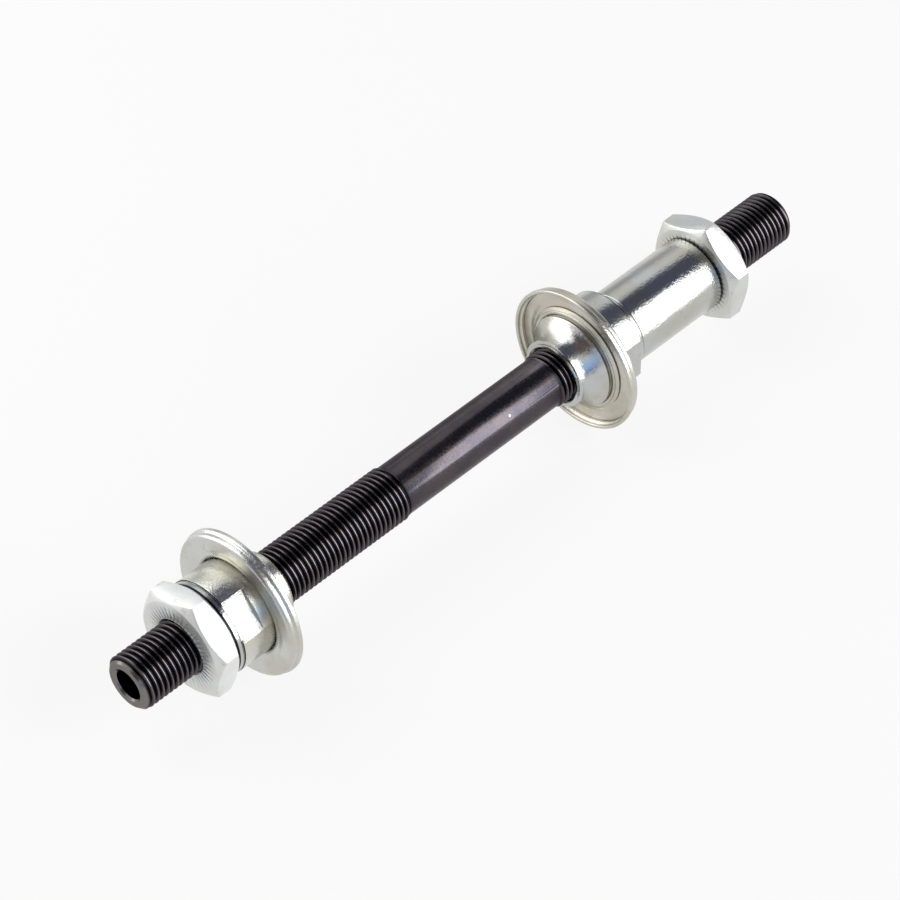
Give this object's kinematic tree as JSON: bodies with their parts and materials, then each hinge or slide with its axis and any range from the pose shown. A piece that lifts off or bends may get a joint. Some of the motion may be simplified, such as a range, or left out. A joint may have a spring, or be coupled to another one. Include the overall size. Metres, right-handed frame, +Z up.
{
  "type": "bicycle hub axle",
  "caption": "Hollow threaded bicycle rear hub axle with cones, dust caps, washer, spacer tube and locknuts fitted.",
  "frame": {"origin": "the middle of the axle's length, on its centre line", "axes": "+Y along the axle towards the plain (non-drive) end, +Z up, as it lies level in a bicycle frame"},
  "size_m": [0.026, 0.146, 0.0258],
  "materials": {
    "black_steel": "black oxide steel, satin",
    "plated_steel": "bright zinc plate",
    "cap_steel": "pressed sheet with bright zinc plate"
  },
  "bodies": {
    "axle": {"axle": "black_steel"},
    "left_washer": {"left_washer": "plated_steel"},
    "left_locknut": {"left_locknut": "plated_steel"},
    "left_dust_cap": {"left_dust_cap": "cap_steel"},
    "left_cone": {"left_cone": "plated_steel"},
    "right_dust_cap": {"right_dust_cap": "cap_steel"},
    "right_cone": {"right_cone": "plated_steel"},
    "right_spacer": {"right_spacer": "plated_steel"},
    "right_locknut": {"right_locknut": "plated_steel"}
  },
  "joints": [
    {"name": "left_washer_slide", "type": "slide", "parent": "axle", "child": "left_washer", "axis": [0, 1, 0], "range_m": [0, 0.01075]},
    {"name": "left_locknut_turn", "type": "hinge", "parent": "left_washer", "child": "left_locknut", "pos_m": [0, 0.05995, 0], "axis": [0, 1, 0], "range_deg": [0, 3960]},
    {"name": "left_dust_cap_slide", "type": "slide", "parent": "axle", "child": "left_dust_cap", "axis": [0, -1, 0], "range_m": [0, 0.02539]},
    {"name": "left_cone_turn", "type": "hinge", "parent": "left_dust_cap", "child": "left_cone", "pos_m": [0, 0.0502, 0], "axis": [0, -1, 0], "range_deg": [0, 9360]},
    {"name": "right_dust_cap_slide", "type": "slide", "parent": "axle", "child": "right_dust_cap", "axis": [0, 1, 0], "range_m": [0, 0.00195]},
    {"name": "right_cone_turn", "type": "hinge", "parent": "right_dust_cap", "child": "right_cone", "pos_m": [0, -0.0268, 0], "axis": [0, 1, 0], "range_deg": [0, 720]},
    {"name": "right_spacer_slide", "type": "slide", "parent": "axle", "child": "right_spacer", "axis": [0, -1, 0], "range_m": [0, 0.01465]},
    {"name": "right_locknut_turn", "type": "hinge", "parent": "right_spacer", "child": "right_locknut", "pos_m": [0, -0.05535, 0], "axis": [0, -1, 0], "range_deg": [0, 5400]}
  ],
  "couplings": [
    {"joint": "left_locknut_turn", "follows": "left_washer_slide", "rad_per_m": 6431.6},
    {"joint": "left_cone_turn", "follows": "left_dust_cap_slide", "rad_per_m": 6431.6},
    {"joint": "right_cone_turn", "follows": "right_dust_cap_slide", "rad_per_m": 6431.6},
    {"joint": "right_locknut_turn", "follows": "right_spacer_slide", "rad_per_m": 6431.6}
  ]
}
